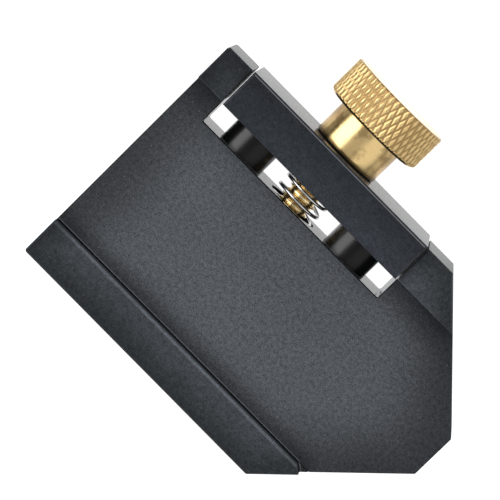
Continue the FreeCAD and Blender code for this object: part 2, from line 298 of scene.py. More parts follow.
class Effect:
    """A shader node group with named inputs and outputs, built once for all finishes."""

    name: str = ""
    inputs: dict[str, float] = {}
    outputs: tuple[str, ...] = ()

    def wire(self, wiring: Wiring, point: Value, given: Given) -> dict[str, Value]:
        """Join the nodes inside the group.

        Args:
            wiring: the group's own tree.
            point: place on the piece, in object coordinates.
            given: the group's inputs by name.

        Returns:
            What each output gives, by its name.
        """
        raise NotImplementedError

    def group(self) -> NodeTree:
        """Return the group's tree, and build it the first time."""
        if self.name in bpy.data.node_groups:
            return bpy.data.node_groups[self.name]
        tree = bpy.data.node_groups.new(self.name, "ShaderNodeTree")
        tree.interface.new_socket("Point", in_out="INPUT", socket_type="NodeSocketVector")
        for name, usual in self.inputs.items():
            socket = tree.interface.new_socket(name, in_out="INPUT", socket_type="NodeSocketFloat")
            socket.default_value = usual
        for name in self.outputs:
            kind = "NodeSocketVector" if name == "Normal" else "NodeSocketFloat"
            tree.interface.new_socket(name, in_out="OUTPUT", socket_type=kind)
        wiring = Wiring(tree)
        source = wiring.add("NodeGroupInput")
        given = {name: wiring.number(source.outputs[name]) for name in self.inputs}
        wiring.made("NodeGroupOutput", self.wire(wiring, source.outputs["Point"], given))
        return tree

    def placed(self, wiring: Wiring, point: Value, **sizes: float) -> Given:
        """Put the group into a finish.

        Args:
            wiring: the finish's tree.
            point: place on the piece, in object coordinates.
            sizes: the finish's own values for the group's inputs.

        Returns:
            The group's outputs by name.
        """
        node = wiring.add("ShaderNodeGroup", node_tree=self.group())
        wiring.fill(node, {"Point": point, **sizes})
        return {name: wiring.number(node.outputs[name]) for name in self.outputs}


class BlastedGrain(Effect):
    """Fine even grain of a bead-blasted surface, with a few bright specks."""

    name = "blasted_grain"
    inputs = {"grain": 0.15, "coarser": 0.35, "fine_share": 0.65, "speck": 0.3}
    outputs = ("Grain", "Specks")

    def wire(self, wiring: Wiring, point: Value, given: Given) -> dict[str, Value]:
        """Layer two sizes of noise, and keep the highest tips of a third as specks."""
        fine = wiring.noise(point, 1.0 / MM / given["grain"], 3.0)
        coarse = wiring.noise(point, given["coarser"] / MM / given["grain"], 2.0)
        tips = wiring.noise(point, 1.0 / MM / given["speck"], 1.0)
        both = coarse + (fine - coarse) * given["fine_share"]
        return {"Grain": both, "Specks": tips.ramp(0.74, 0.8)}


class HandlingHaze(Effect):
    """Broad soft patches that handling and dust leave."""

    name = "handling_haze"
    inputs = {"patch": 14.0, "streak": 1.0}
    outputs = ("Haze",)

    def wire(self, wiring: Wiring, point: Value, given: Given) -> dict[str, Value]:
        """Sample broad noise, drawn out along the piece by the streak input."""
        across, along, height = wiring.split(point)
        drawn = wiring.vector(across / given["streak"], along, height)
        cloud = wiring.noise(drawn, 1.0 / MM / given["patch"], 4.0)
        return {"Haze": cloud.ramp(0.3, 0.72)}


class SoftEdge(Effect):
    """Rounded normals along edges, and a broken mask of where they are rubbed."""

    name = "soft_edge"
    inputs = {"radius": 0.06, "break_up": 0.8}
    outputs = ("Normal", "Rub")

    def wire(self, wiring: Wiring, point: Value, given: Given) -> dict[str, Value]:
        """Set the rounded normal against the true one to find the edges."""
        rounded = wiring.made(
            "ShaderNodeBevel", {"Radius": given["radius"] * MM}, samples=6
        ).outputs["Normal"]
        true = wiring.add("ShaderNodeNewGeometry").outputs["True Normal"]
        alike = wiring.joined("ShaderNodeVectorMath", rounded, true, operation="DOT_PRODUCT")
        turned = 1.0 - wiring.number(alike.outputs["Value"])
        broken = wiring.noise(point, 1.0 / MM / given["break_up"], 3.0).ramp(0.25, 0.7)
        return {"Normal": rounded, "Rub": turned.ramp(0.01, 0.12) * broken}


class OutlineFade(Effect):
    """Distances in from the block's outline, out from its ledge's foot and back from its tip."""

    name = "outline_fade"
    inputs = {
        "end": -21.75,
        "tip": 38.25,
        "tip_pull": 0.85,
        "half_width": 20.0,
        "shoulder": 21.75,
        "ledge": -14.0,
        "blunt_start": 25.75,
        "blunt_turn": 0.636,
    }
    outputs = ("Inwards", "From Ledge", "From Foot", "From End", "From Tip")

    def wire(self, wiring: Wiring, point: Value, given: Given) -> dict[str, Value]:
        """Take the least distance to the square end, the sides, the nose and its slopes."""
        along, across, _ = wiring.measured(point)
        side = given["half_width"] - across.size()
        slope = (given["shoulder"] - along + side) * SLANT
        back = given["tip"] - along
        ahead = along - given["end"]
        wall = across - given["ledge"]
        turn = given["blunt_turn"]
        blunted = (along - given["blunt_start"]) * turn.sine() + wall * turn.cosine()
        return {
            "Inwards": ahead.lesser(back * given["tip_pull"]).lesser(side).lesser(slope),
            "From Ledge": wall,
            "From Foot": wall.greater(blunted),
            "From End": ahead,
            "From Tip": back,
        }


class TurningLines(Effect):
    """Hair-thin rings that a lathe or a grinder leaves around an axis along Y."""

    name = "turning_lines"
    inputs = {"spacing": 0.08, "waver": 0.4}
    outputs = ("Lines", "Patches")

    def wire(self, wiring: Wiring, point: Value, given: Given) -> dict[str, Value]:
        """Sample noise that hardly changes round the axis, and some that does."""
        across, along, height = wiring.split(point)
        radius = across.diagonal(height)
        angle = across.angle_from(height)
        finely = 1.0 / MM / given["spacing"]
        rings = wiring.noise(
            wiring.vector(radius * finely, along * finely, angle * given["waver"]), 1.0, 2.0
        )
        patches = wiring.noise(point, 0.8 / MM, 2.0)
        return {"Lines": rings, "Patches": patches.ramp(0.35, 0.65)}


GRAIN = BlastedGrain()
HAZE = HandlingHaze()
EDGE = SoftEdge()
OUTLINE = OutlineFade()
LINES = TurningLines()


@dataclass(frozen=True, kw_only=True)
class Finish:
    """What every finish has: its name, its slot in the record and its shader's constants."""

    name: str
    slot: Slot
    metallic: float = 0.0
    specular: float = 0.5

    def material(self) -> Material:
        """Return the finish's material, and build it the first time."""
        if self.name in bpy.data.materials:
            return bpy.data.materials[self.name]
        material, wiring = new_material(self.name)
        shader = wiring.add("ShaderNodeBsdfPrincipled")
        wiring.fill(shader, {"Metallic": self.metallic, "Specular IOR Level": self.specular})
        self.dress(wiring, shader)
        wiring.made("ShaderNodeOutputMaterial", {"Surface": shader.outputs["BSDF"]})
        return material

    def dress(self, wiring: Wiring, shader: Node) -> None:
        """Feed the shader's colour, roughness and normal."""
        raise NotImplementedError

    def relief(
        self,
        wiring: Wiring,
        shader: Node,
        height: Number,
        depth: float,
        normal: Number | None = None,
    ) -> None:
        """Raise fine relief on the shader's normal.

        Args:
            wiring: the material's tree.
            shader: the shader that takes the normal.
            height: the relief, from 0 to 1.
            depth: how deep the relief is, in millimetres.
            normal: the normal that it stands on, or nothing for the surface's own.
        """
        bump = wiring.made("ShaderNodeBump", {"Distance": depth * MM, "Height": height})
        if normal is not None:
            wiring.feed(bump.inputs["Normal"], normal)
        wiring.feed(shader.inputs["Normal"], bump.outputs["Normal"])


@dataclass(frozen=True, kw_only=True)
class AnodisedFinish(Finish):
    """Bead-blasted aluminium under a black dye, with its milled floor a little lighter.
    Painted shade, painted highlights and painted reflections lie in its colour as well.

    Lengths are in millimetres, and a reach is where a mask starts and where it is full.
    """

    dye: Colour
    floor_dye: Colour
    floor_height: float
    # Share of the colour that painted shade takes off at the outline, so that the middle reads as
    # lit.
    fade: float
    seal: float
    softness: float
    sawn_ends: float = 0.0
    notched: float = 0.0
    specular: float = 0.03
    roughness: float = 0.5
    grain: float = 0.2
    grain_depth: float = 0.05
    grain_reach: Reach = (0.32, 0.68)
    grain_spread: float = 0.9
    floor_step: float = 0.3
    floor_spread: float = 0.3
    specks: float = 1.5
    haze_streak: float = 1.6
    haze_spread: float = 0.16
    rub: float = 0.6
    seal_roughness: float = 0.2
    seal_index: float = 1.22
    # How far the painted shade reaches in from the outline, and how much further on the floor.
    edge_shade_reach: float = 5.5
    floor_shade_reach: float = 5.5
    # Painted shade on the floor: by the ledge's foot, before the jaws, towards the nose and on its
    # bevels.
    foot_reach: Reach = (0.4, 3.6)
    foot_painted_shade: float = 0.38
    jaw_reach: Reach = (22.0, 28.0)
    jaw_painted_shade: float = 0.38
    nose_reach: Reach = (4.0, 14.0)
    nose_painted_shade: float = 0.2
    floor_bevel_painted_shade: float = 0.8
    # Painted highlight on the bevels above the floor.
    bevel_painted_highlight: float = 0.8
    # Painted highlight along the groove's edge on the floor.
    lip_place: float = 0.22
    lip_half: Reach = (0.06, 0.12)
    lip_painted_highlight: float = 0.9
    # Painted shade down in the groove at the ledge's foot.
    groove_half: Reach = (0.1, 0.16)
    groove_top: Reach = (0.6, 1.4)
    groove_foot: Reach = (-0.8, -0.5)
    groove_painted_shade: float = 0.75
    # Painted shade on the arms and the bar, which turns to painted light towards the nose.
    arm_reach: Reach = (23.0, 24.0)
    arm_painted_shade: float = 0.2
    gain_reach: Reach = (2.0, 22.0)
    arm_painted_light: float = 0.3
    # Painted light on the walls of the open part of the notch.
    notch_middle: float = 21.75
    notch_half: Reach = (17.2, 17.3)
    gap_middle: float = 26.0
    gap_half: Reach = (2.0, 2.1)
    notch_wall_painted_light: float = 1.2
    # Painted highlight and painted dark reflection along the edges beyond the channel.
    line_reach: Reach = (20.0, 21.0)
    bright_slope: float = 0.28
    dark_slope: float = 0.68
    highlight_colour: Colour = (0.032, 0.032, 0.034)
    edge_painted_highlight: float = 3.0
    edge_painted_dark_reflection: float = 0.4

    def edge_lines(self, facing: tuple[Number, ...], outline: Given) -> tuple[Number, Number]:
        """Find the painted highlight and painted dark reflection that run along an edge beyond the
        channel.

        Args:
            facing: the way the surface faces.
            outline: distances from the block's outline.

        Returns:
            The masks of the painted highlight, next to the top, and of the painted dark reflection
            below it.
        """
        beyond = outline["From Ledge"].ramp(*self.line_reach) * facing[2].ramp(0.3, 0.5)
        bright = facing[1].near(self.bright_slope, 0.1, 0.2)
        dark = facing[1].near(self.dark_slope, 0.12, 0.22)
        return bright * beyond, dark * beyond

    def notch_walls(self, facing: tuple[Number, ...], outline: Given) -> Number:
        """Mask the upright walls of the part of the notch that the bar leaves open.

        Args:
            facing: the way the surface faces.
            outline: distances from the block's outline.

        Returns:
            The mask, which is empty on a piece without a notch.
        """
        in_notch = outline["From End"].near(self.notch_middle, *self.notch_half)
        in_gap = outline["From Ledge"].near(self.gap_middle, *self.gap_half)
        return facing[2].near(0.0, 0.2, 0.4) * in_gap * in_notch * self.notched

    def shades(self, on_floor: Number, slanted: Number, outline: Given) -> Number:
        """Paint shade on the floor towards what stands round it, and on the arms towards the
        square end.

        Args:
            on_floor: mask of the channel floor and of what lies below it.
            slanted: mask of the bevels along its edges.
            outline: distances from the block's outline.

        Returns:
            The share of the light that is left.
        """
        # Painted shade on the floor: by the ledge's foot, before the jaws, towards the nose and on
        # its bevels.
        foot = outline["From Foot"].lit(self.foot_reach, self.foot_painted_shade)
        jaw = 1.0 - outline["From Ledge"].ramp(*self.jaw_reach) * self.jaw_painted_shade
        nose = outline["From Tip"].lit(self.nose_reach, self.nose_painted_shade)
        rim = 1.0 - slanted * self.floor_bevel_painted_shade
        floor = 1.0 - on_floor * (1.0 - foot * jaw * nose * rim)
        above = 1.0 - on_floor
        # Painted shade on the arms and the bar, which turns to painted light towards the nose.
        arms = outline["From Ledge"].ramp(*self.arm_reach) * above
        gain = outline["From End"].ramp(*self.gain_reach) * self.arm_painted_light
        # Painted highlight on the bevels above the floor.
        bevels = 1.0 + slanted * above * self.bevel_painted_highlight
        return bevels * floor * (1.0 - arms * (self.arm_painted_shade - gain))

    def dress(self, wiring: Wiring, shader: Node) -> None:
        """Vary the dye with grain, specks, haze and rubbed edges, and paint light and shade into
        it.
        """
        wiring.fill(shader, {"Coat Roughness": self.seal_roughness, "Coat IOR": self.seal_index})
        point, facing = wiring.surface()
        height = wiring.split(point)[2] / MM
        grain = GRAIN.placed(wiring, point, grain=self.grain)
        haze = HAZE.placed(wiring, point, streak=self.haze_streak)["Haze"]
        edge = EDGE.placed(wiring, point, radius=self.softness)
        outline = OUTLINE.placed(wiring, point)
        painted_highlight_line, painted_reflection_line = self.edge_lines(facing, outline)
        notch_wall = self.notch_walls(facing, outline)
        sawn = facing[0].size().ramp(0.7, 0.9) * self.sawn_ends
        # The coat is left off the sawn ends and the painted dark reflection, and raised on the
        # notch walls for their painted light.
        coat = (1.0 - sawn) * (1.0 - painted_reflection_line) * self.seal
        coat = coat + notch_wall * (1.0 - self.seal)
        floor_edge = self.floor_height + self.floor_step
        on_floor = height.fall(self.floor_height, floor_edge, smooth=False)
        slanted = facing[2].near(SLANT, 0.1, 0.2)
        reach = self.edge_shade_reach + on_floor * self.floor_shade_reach
        # Painted shade towards the outline, reaching further in on the floor.
        inner = (outline["Inwards"] / reach).lit((0.0, 1.0), self.fade)
        # Painted shade in the groove.
        groove = outline["From Foot"].near(0.0, *self.groove_half)
        groove = groove * height.fall(*self.groove_top) * height.ramp(*self.groove_foot)
        # Painted highlight on the lip beside the groove.
        lip = outline["From Foot"].near(self.lip_place, *self.lip_half)
        lip = lip * on_floor * facing[2].ramp(0.5, 0.8)
        shade = self.shades(on_floor, slanted, outline) * (1.0 - groove * self.groove_painted_shade)
        spread = self.grain_spread + on_floor * self.floor_spread
        mottle = 1.0 + (grain["Grain"].ramp(*self.grain_reach, smooth=False) - 0.5) * spread
        tone = mottle * inner * shade * (1.0 + (haze - 0.5) * self.haze_spread)
        tone = tone + grain["Specks"] * self.specks + edge["Rub"] * self.rub
        # Painted highlight on the lip, and painted dark reflection along the edges.
        tone = (tone + lip * self.lip_painted_highlight) * (1.0 - painted_reflection_line * self.edge_painted_dark_reflection)
        # Painted highlight along the edges, and painted light on the open notch's walls.
        tone = tone + painted_highlight_line * self.edge_painted_highlight + notch_wall * self.notch_wall_painted_light
        dye = wiring.blended(on_floor, (*self.dye, 1.0), (*self.floor_dye, 1.0))
        # The painted highlight along the edges has its own colour; the tone carries all the
        # painted shade and light.
        dye = wiring.scaled(wiring.blended(painted_highlight_line, dye, (*self.highlight_colour, 1.0)), tone)
        rough = self.roughness + grain["Grain"] * 0.1 - haze * 0.05 - edge["Rub"] * 0.06
        wiring.fill(shader, {"Base Color": dye, "Roughness": rough, "Coat Weight": coat})
        self.relief(wiring, shader, grain["Grain"], self.grain_depth, edge["Normal"])


@dataclass(frozen=True, kw_only=True)
class GroundFinish(Finish):
    """Ground and blackened steel, with rings round the pin, glossier on one side as a painted
    sheen.
    """

    oxide: Colour
    across: float
    specular: float = 0.25
    roughness: float = 0.25
    ring_spacing: float = 0.06
    ring_spread: float = 0.5
    ring_depth: float = 0.004
    patch: float = 5.0
    patch_spread: float = 0.25
    gloss: float = 0.05
    side_painted_sheen: float = 0.75

    def dress(self, wiring: Wiring, shader: Node) -> None:
        """Vary the oxide and its gloss with the grinding rings."""
        place, facing = wiring.surface()
        # Painted sheen: the coat is thicker on the side that faces the left panel, so the other
        # side reads shaded.
        coat = facing[0].fall(-0.4, 0.0) * self.side_painted_sheen + self.gloss
        wiring.fill(shader, {"Coat Roughness": self.roughness, "Coat Weight": coat})
        point = wiring.centred(place, self.across)
        rings = LINES.placed(wiring, point, spacing=self.ring_spacing)
        haze = HAZE.placed(wiring, point, patch=self.patch)["Haze"]
        tone = 0.7 + rings["Lines"] * self.ring_spread + haze * self.patch_spread
        rough = self.roughness + rings["Patches"] * 0.05 + haze * 0.05
        wiring.fill(shader, {"Base Color": wiring.scaled(self.oxide, tone), "Roughness": rough})
        self.relief(wiring, shader, rings["Lines"], self.ring_depth)


@dataclass(frozen=True, kw_only=True)
class DrawnWireFinish(Finish):
    """Bright drawn wire, with faint lines along its length."""

    steel: Colour
    metallic: float = 1.0
    roughness: float = 0.12
    lines_round: float = 22.0
    breaks_a_turn: float = 3.0
    line_depth: float = 0.003
    patch: float = 1.5

    def dress(self, wiring: Wiring, shader: Node) -> None:
        """Vary the steel with drawing lines that follow the wire and with dull patches."""
        place, _ = wiring.surface()
        along = wiring.attribute("along") * self.breaks_a_turn
        around = wiring.attribute("around") * self.lines_round
        lines = wiring.noise(wiring.vector(along, around, SEED), 1.0)
        haze = HAZE.placed(wiring, place, patch=self.patch)["Haze"]
        tone = 0.8 + lines * 0.25 + haze * 0.08
        rough = self.roughness + lines * 0.12 + haze * 0.08
        wiring.fill(shader, {"Base Color": wiring.scaled(self.steel, tone), "Roughness": rough})
        self.relief(wiring, shader, lines, self.line_depth)


@dataclass(frozen=True, kw_only=True)
class TurnedBrassFinish(Finish):
    """Turned brass: bright on crests and faces, browner down in the knurl and thread.
    Its hub has painted shade at the foot and sides, and its shank is painted paler as light.

    Lengths are in millimetres, radii from the screw's axis and ends along it.
    """

    brass: Colour
    # Tarnish, and the painted shade at the hub's foot and sides, share this colour.
    tarnish_and_shade_colour: Colour
    # Paler brass for the shank, painted on as light.
    painted_light_brass: Colour = (1.0, 0.85, 0.55)
    metallic: float = 1.0
    roughness: float = 0.15
    shank_radius: Reach = (2.6, 3.0)
    shank_end: Reach = (20.2, 20.3)
    foot_radius: Reach = (5.0, 5.1)
    foot_end: Reach = (20.6, 20.9)
    hub_end: Reach = (25.4, 25.6)
    rim_radius: Reach = (7.5, 7.6)
    # How far the shank is painted paler, as light on its thread.
    shank_painted_light: float = 0.6
    cut_dull: float = 0.85
    rolled_dull: float = 0.2
    hub_stain: float = 0.6
    head_stain: float = 0.15
    # Painted shade on the hub's sides and at its foot.
    side_painted_shade: float = 0.8
    foot_painted_shade: float = 0.35
    patch: float = 3.0
    wave_depth: float = 0.02

    def dress(self, wiring: Wiring, shader: Node) -> None:
        """Vary the brass with turning lines and with the depth that was cut."""
        place, facing = wiring.surface()
        point = wiring.centred(place, 0.0)
        rings = LINES.placed(wiring, point)
        haze = HAZE.placed(wiring, point, patch=self.patch)["Haze"]
        depth = wiring.attribute("cut_depth")
        across, along, height = wiring.measured(point)
        radius = across.diagonal(height)
        on_shank = radius.fall(*self.shank_radius) * along.fall(*self.shank_end)
        on_hub = along.fall(*self.hub_end)
        # Painted shade at the hub's foot, where it sits on the bar.
        foot = along.fall(*self.foot_end) * radius.ramp(*self.foot_radius)
        rim = facing[1].near(SLANT, 0.2, 0.4) * radius.ramp(*self.rim_radius)
        off_shank = 1.0 - on_shank
        rolled = depth.ramp(0.0, 0.15) * off_shank
        cut = depth.ramp(0.3, 1.0) * (self.cut_dull - on_shank * 0.5)
        blotch = wiring.noise(point, 0.45 / MM, 5.0).ramp(0.46, 0.62) * (1.0 - rolled)
        stain = blotch * (self.head_stain + on_hub * self.hub_stain - on_shank * 0.5)
        # Painted shade on the hub's sides.
        side = facing[0].size().ramp(0.6, 0.95) * on_hub * off_shank * self.side_painted_shade
        # The tarnish colour holds real tarnish in the hollows and stains, and the painted shade at
        # the hub's foot and sides; the ring on the top chamfer is darker too.
        tarnish_and_shade_share = rolled * self.rolled_dull + cut + stain + rim + foot + side
        colour = wiring.blended(tarnish_and_shade_share.lesser(1.0), (*self.brass, 1.0), (*self.tarnish_and_shade_colour, 1.0))
        # The shank is painted paler brass, as painted light on its thread.
        colour = wiring.blended(on_shank * self.shank_painted_light, colour, (*self.painted_light_brass, 1.0))
        tone = (0.9 + rings["Lines"] * 0.2) * (1.0 - foot * self.foot_painted_shade)
        rough = self.roughness + haze * 0.05 + rings["Lines"] * 0.05 + rolled * 0.2
        wiring.fill(shader, {"Base Color": wiring.scaled(colour, tone), "Roughness": rough})
        waves = wiring.noise(point, 0.7 / MM, 1.0)
        self.relief(wiring, shader, rings["Lines"] * 0.15 + waves, self.wave_depth)


class Recipe:
    """A Geometry Nodes tree with named inputs that shapes one mesh and is then baked in."""

    name: str = ""
    sizes: dict[str, float | int] = {}

    def wire(self, wiring: Wiring, mesh: Value, given: Given) -> Socket:
        """Join the nodes that shape the mesh.

        Args:
            wiring: the recipe's tree.
            mesh: the mesh that comes in.
            given: the recipe's inputs by name.

        Returns:
            The shaped mesh.
        """
        raise NotImplementedError

    def tree(self) -> NodeTree:
        """Build the recipe's tree, which ends in real geometry with its material set."""
        tree = bpy.data.node_groups.new(self.name, "GeometryNodeTree")
        for way in ("INPUT", "OUTPUT"):
            tree.interface.new_socket("Mesh", in_out=way, socket_type="NodeSocketGeometry")
        for name, usual in self.sizes.items():
            kind = "NodeSocketInt" if isinstance(usual, int) else "NodeSocketFloat"
            tree.interface.new_socket(name, in_out="INPUT", socket_type=kind)
        tree.interface.new_socket("finish", in_out="INPUT", socket_type="NodeSocketMaterial")
        wiring = Wiring(tree)
        source = wiring.add("NodeGroupInput")
        given = {name: wiring.number(source.outputs[name]) for name in self.sizes}
        shaped = self.wire(wiring, source.outputs["Mesh"], given)
        real = wiring.made("GeometryNodeRealizeInstances", {"Geometry": shaped}).outputs[0]
        dressing = {"Geometry": real, "Material": source.outputs["finish"]}
        painted = wiring.made("GeometryNodeSetMaterial", dressing)
        wiring.made("NodeGroupOutput", {"Mesh": painted.outputs[0]})
        return tree

    def bake(self, piece: Object, material: Material, **sizes: float | int) -> None:
        """Shape a piece's mesh by the recipe and leave a plain mesh.

        Args:
            piece: the object whose mesh is shaped.
            material: what the finished mesh is made of.
            sizes: the recipe's inputs by name, lengths in millimetres.
        """
        modifier = piece.modifiers.new(self.name, "NODES")
        modifier.node_group = self.tree()
        values = {**self.sizes, **sizes, "finish": material}
        for item in modifier.node_group.interface.items_tree:
            if item.in_out == "INPUT" and item.name in values:
                modifier[item.identifier] = values[item.name]
        work_in(piece, modifier)

    def trimmed(
        self, wiring: Wiring, mesh: Value, radius: Callable[[Number, Number], Number], full: Number
    ) -> Socket:
        """Bring a turned blank in to a radius that changes round and along its axis.

        Args:
            wiring: the recipe's tree.
            mesh: the turned blank.
            radius: gives the radius from the angle in turns and the place along the axis.
            full: depth that counts as fully cut, in millimetres.

        Returns:
            The trimmed mesh, with the share of the full depth kept on its points.
        """
        place = wiring.add("GeometryNodeInputPosition").outputs[0]
        across, along, height = wiring.measured(place)
        upright = height - AXIS_HEIGHT
        reach = across.diagonal(upright).greater(TINY)
        kept = reach.lesser(radius(across.angle_from(upright) / math.tau, along))
        share = kept / reach
        cut = wiring.stored(mesh, "cut_depth", (reach - kept) / full)
        spot = wiring.vector(across * share, along, upright * share + AXIS_HEIGHT)
        return wiring.moved(cut, spot)


class DiamondKnurl(Recipe):
    """Two crossing families of slanted grooves rolled into a head's rim."""

    name = "diamond_knurl"
    sizes = {
        "rim_radius": 8.0,
        "underside": 25.43,
        "topside": 31.12,
        "count": 52,
        "diamond_height": 2.78,
        "depth": 0.2,
        "crest_flat": 0.25,
    }

    def wire(self, wiring: Wiring, mesh: Value, given: Given) -> Socket:
        """Keep what stands inside both families of grooves."""

        def radius(turns: Number, along: Number) -> Number:
            slant = along / given["diamond_height"]
            around = turns * given["count"]
            crest = (around + slant).ridge().lesser((around - slant).ridge())
            kept = (crest * (1.0 + given["crest_flat"])).ramp(0.0, 1.0)
            on_head = along.over(given["underside"])
            bare = 1.0 - on_head * along.under(given["topside"])
            return given["rim_radius"] - (1.0 - kept) * given["depth"] + bare * UNCUT

        return self.trimmed(wiring, mesh, radius, given["depth"])


class ScrewThread(Recipe):
    """A right-hand thread cut into a plain shank."""

    name = "screw_thread"
    sizes = {"outer_radius": 2.5, "pitch": 0.8, "depth": 0.4}

    def wire(self, wiring: Wiring, mesh: Value, given: Given) -> Socket:
        """Cut a groove with sloping flanks that winds along the shank."""

        def radius(turns: Number, along: Number) -> Number:
            groove = (along / given["pitch"] - turns).ridge().ramp(0.06, 0.55)
            return given["outer_radius"] - groove * given["depth"]

        return self.trimmed(wiring, mesh, radius, given["depth"])


class WoundWire(Recipe):
    """Round wire wound into a compression spring whose end coils lie down flat."""

    name = "wound_wire"
    sizes = {
        "foot": 8.62,
        "coil_radius": 3.55,
        "wire_radius": 0.25,
        "height": 8.51,
        "turns": 6.5,
        "closing_turns": 1.18,
        "lean": 0.3,
        "steps": 469,
        "sides": 20,
    }

    def wire(self, wiring: Wiring, mesh: Value, given: Given) -> Socket:
        """Lay a line along the coils and sweep the wire's section along it."""
        line = wiring.add("GeometryNodeCurvePrimitiveLine").outputs[0]
        run = {"Curve": line, "Count": given["steps"]}
        drawn = wiring.made("GeometryNodeResampleCurve", run).outputs[0]
        index = wiring.number(wiring.add("GeometryNodeInputIndex").outputs[0])
        turn = index / (given["steps"] - 1.0) * given["turns"]
        left = given["turns"] - turn
        closing = given["closing_turns"]
        pitch = given["height"] / (given["turns"] - closing)
        ends = []
        for turned_by in (turn, left):
            some = turned_by.lesser(closing)
            ends.append(pitch * (some * some - 2.0 * closing * some + closing * closing))
        rise = pitch * (turn - closing * 0.5) + (ends[0] - ends[1]) / (closing * 2.0)
        angle = turn * math.tau + math.pi
        cosine = angle.cosine()
        free = turn.lesser(left).lesser(1.0).ramp(0.0, 1.0)
        place = wiring.vector(
            given["coil_radius"] * cosine,
            given["foot"] + rise - given["lean"] * free * cosine,
            AXIS_HEIGHT - given["coil_radius"] * angle.sine(),
        )
        marked = wiring.stored(wiring.moved(drawn, place), "along", turn)
        section = {"Resolution": given["sides"], "Radius": given["wire_radius"] * MM}
        ring = wiring.made("GeometryNodeCurvePrimitiveCircle", section).outputs[0]
        around = wiring.stored(ring, "around", (index / given["sides"]).ridge())
        sweep = {"Curve": marked, "Profile Curve": around, "Fill Caps": True}
        return wiring.made("GeometryNodeCurveToMesh", sweep).outputs[0]


def rod(radius: float, tip: float, chamfer: float, end: float) -> Profile:
    """Outline a plain rod, in millimetres, with a chamfer at its tip."""
    return [
        (0.0, tip),
        (radius - chamfer, tip),
        (radius, tip + chamfer),
        (radius, end),
        (0.0, end),
    ]


def soften(profile: Profile, radius: float, steps: int, most: float = 0.45) -> Profile:
    """Round the inner corners of a profile.

    Args:
        profile: pairs of radius and place along the axis, in millimetres.
        radius: how far from each corner the rounding starts.
        steps: short runs that stand for each rounded corner.
        most: the largest share of a run that one corner's rounding takes.

    Returns:
        The profile with every corner but its two ends rounded.
    """
    softened = [profile[0]]
    for before, corner, after in zip(profile, profile[1:], profile[2:]):
        here = Vector(corner)
        back = Vector(before) - here
        on = Vector(after) - here
        reach = min(radius, back.length * most, on.length * most)
        start = here + back.normalized() * reach
        stop = here + on.normalized() * reach
        for step in range(steps + 1):
            share = step / steps
            bent = start.lerp(here, share).lerp(here.lerp(stop, share), share)
            softened.append((bent.x, bent.y))
    softened.append(profile[-1])
    return softened


def divided(profile: Profile, longest: float, low: float, high: float) -> Profile:
    """Part the long runs of a profile between two places into short ones.

    Args:
        profile: pairs of radius and place along the axis, in millimetres.
        longest: the longest run that stays whole.
        low: where the dividing starts along the axis.
        high: where it stops.

    Returns:
        The profile with more points.
    """
    points = [profile[0]]
    for start, stop in zip(profile, profile[1:]):
        inside = low <= min(start[1], stop[1]) and max(start[1], stop[1]) <= high
        length = math.dist(start, stop)
        count = max(1, math.ceil(length / longest)) if inside else 1
        for step in range(1, count + 1):
            points.append(tuple(a + (b - a) * step / count for a, b in zip(start, stop)))
    return points


def turned(profile: Profile, columns: int, across: float = 0.0) -> bmesh.types.BMesh:
    """Spin a profile round an axis along Y into a closed shell.

    Args:
        profile: pairs of radius and place along the axis, in millimetres, from pole to pole.
        columns: how many sides the shell has.
        across: where the axis is along X.

    Returns:
        The shell in metres, with its faces pointing outwards.
    """
    shell = bmesh.new()
    rings = []
    for radius, along in profile:
        ring = []
        for column in range(columns if radius > TINY else 1):
            angle = math.tau * column / columns
            x = across + radius * math.sin(angle)
            z = AXIS_HEIGHT + radius * math.cos(angle)
            ring.append(shell.verts.new((x * MM, along * MM, z * MM)))
        rings.append(ring)
    for lower, upper in zip(rings, rings[1:]):
        for column in range(columns):
            corners = []
            for ring, order in ((lower, (0, 1)), (upper, (1, 0))):
                for step in order:
                    vertex = ring[(column + step) % len(ring)]
                    if vertex not in corners:
                        corners.append(vertex)
            shell.faces.new(corners)
    bmesh.ops.recalc_face_normals(shell, faces=shell.faces)
    return shell


def add_object(name: str, data: ID) -> Object:
    """Put an object that holds this data into the scene, at the origin."""
    thing = bpy.data.objects.new(name, data)
    bpy.context.scene.collection.objects.link(thing)
    return thing


def add_mesh(name: str, points: list[Place | Vector], faces: list[tuple[int, ...]]) -> Object:
    """Put an object with these points, in metres, and faces into the scene."""
    mesh = bpy.data.meshes.new(name)
    mesh.from_pydata(points, [], faces)
    return add_object(name, mesh)


def as_piece(shell: bmesh.types.BMesh, name: str) -> Object:
    """Turn a shell, which is freed, into an object at the origin with smooth faces."""
    mesh = bpy.data.meshes.new(name)
    shell.to_mesh(mesh)
    shell.free()
    piece = add_object(name, mesh)
    shade(piece)
    return piece


def shade(piece: Object, sharp: float = 40.0) -> None:
    """Shade a piece's faces smoothly up to an angle in degrees."""
    piece.data.shade_smooth()
    piece.data.set_sharp_from_angle(angle=math.radians(sharp))


def work_in(piece: Object, modifier: Modifier) -> None:
    """Leave a piece with the mesh that its only modifier makes, and without the modifier."""
    bpy.context.view_layer.update()
    evaluated = piece.evaluated_get(bpy.context.evaluated_depsgraph_get())
    mesh = bpy.data.meshes.new_from_object(evaluated)
    piece.modifiers.remove(modifier)
    old = piece.data
    piece.data = mesh
    mesh.name = piece.name
    bpy.data.meshes.remove(old)


def settle(piece: Object, finish: Finish, body: str, *nodes: str) -> None:
    """Give a finished piece its material, its body and the CAD nodes it stands for.

    Args:
        piece: the finished object.
        finish: what it is made of.
        body: the CAD body that it moves with.
        nodes: the CAD nodes that it replaces.
    """
    if not piece.data.materials:
        piece.data.materials.append(finish.material())
    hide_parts(*nodes)
    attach(piece, body)
    LOG.info("%s: %d faces, on %s", piece.name, len(piece.data.polygons), body)


